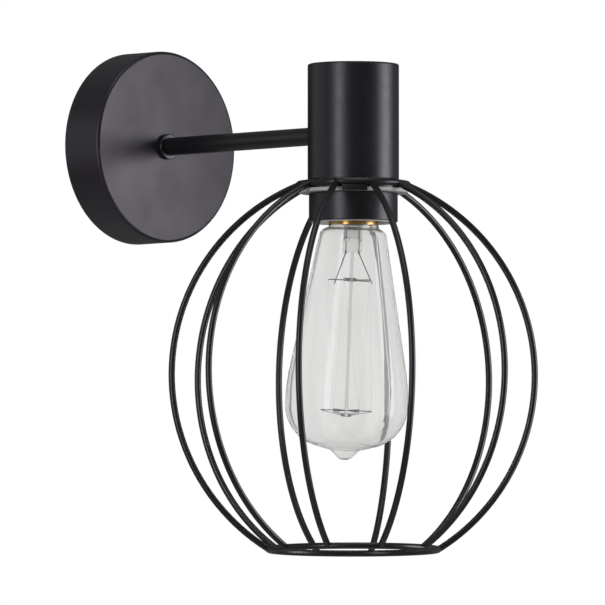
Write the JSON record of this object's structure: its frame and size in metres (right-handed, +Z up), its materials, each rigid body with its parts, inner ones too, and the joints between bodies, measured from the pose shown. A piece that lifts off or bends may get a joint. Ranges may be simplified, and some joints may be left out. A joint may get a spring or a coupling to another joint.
{
  "type": "cage wall light",
  "caption": "Wall light with a round canopy, a straight arm and a short cup; a clamp ring under the cup carries a round wire cage about a pear-shaped filament lamp.",
  "frame": {"origin": "middle of the canopy's back on the wall plane, on the arm's axis", "axes": "+Z up; +Y into the wall, so the room and the lamp are at -Y; +X to the right of someone who faces the wall"},
  "size_m": [0.1933, 0.2613, 0.2711],
  "materials": {
    "canopy_paint": "satin grey-bronze lacquer",
    "arm_black": "satin black",
    "cup_black": "satin black",
    "cage_black": "satin black powder coat",
    "skirt_black": "satin black",
    "zinc_steel": "bright zinc plate",
    "brass": "drawn sheet brass",
    "white_plastic": "moulded white",
    "holder_plastic": "moulded off-white",
    "lamp_solder": "solder",
    "insulator_glass": "black vitreous glass",
    "lamp_glass": "clear blown glass",
    "stem_glass": "clear drawn glass",
    "support_wire": "drawn wire",
    "filament": "carbon thread"
  },
  "bodies": {
    "fixture": {"canopy": "canopy_paint", "mounting_bracket": "zinc_steel", "canopy_screws": "zinc_steel", "terminal_block": "white_plastic", "terminal_screws": "zinc_steel", "earth_screw": "brass", "arm_tube": "arm_black", "arm_collar": "arm_black", "arm_washer": "zinc_steel", "arm_nut": "zinc_steel", "cup": "cup_black", "hanger": "zinc_steel", "cup_nut": "zinc_steel", "holder_nipple": "zinc_steel", "nipple_nut": "zinc_steel", "holder_body": "holder_plastic", "holder_shell": "brass", "contact_tongue": "brass", "contact_rivet": "brass"},
    "cage": {"cage_seat": "cage_black", "cage_top_ring": "cage_black", "cage_bottom_ring": "cage_black", "cage_rib_01": "cage_black", "cage_rib_02": "cage_black", "cage_rib_03": "cage_black", "cage_rib_04": "cage_black", "cage_rib_05": "cage_black", "cage_rib_06": "cage_black", "cage_rib_07": "cage_black", "cage_rib_08": "cage_black", "cage_rib_09": "cage_black", "cage_rib_10": "cage_black"},
    "clamp": {"clamp_ring": "holder_plastic", "skirt": "skirt_black"},
    "lamp_foot": {"lamp_contact": "lamp_solder", "lamp_insulator": "insulator_glass"},
    "lamp": {"lamp_cap": "brass", "lamp_glass": "lamp_glass", "lamp_stem": "stem_glass", "lamp_rod": "stem_glass", "lamp_upper_button": "stem_glass", "lamp_lower_button": "stem_glass", "lamp_upper_hooks": "support_wire", "lamp_lower_hooks": "support_wire", "lamp_leads": "support_wire", "lamp_filament": "filament"}
  },
  "joints": [
    {"name": "clamp_turn", "type": "hinge", "parent": "cage", "child": "clamp", "pos_m": [0, -0.166, -0.04], "axis": [0, 0, -1], "range_deg": [0, 1440]},
    {"name": "cage_drop", "type": "slide", "parent": "fixture", "child": "cage", "axis": [0, 0, -1], "range_m": [0, 0.01001]},
    {"name": "lamp_turn", "type": "hinge", "parent": "lamp_foot", "child": "lamp", "pos_m": [0, -0.166, -0.04], "axis": [0, 0, -1], "range_deg": [0, 1620]},
    {"name": "lamp_travel", "type": "slide", "parent": "fixture", "child": "lamp_foot", "axis": [0, 0, -1], "range_m": [0, 0.01634]}
  ],
  "couplings": [
    {"joint": "cage_drop", "follows": "clamp_turn", "m_per_rad": 0.00039789},
    {"joint": "lamp_travel", "follows": "lamp_turn", "m_per_rad": 0.00057757}
  ]
}
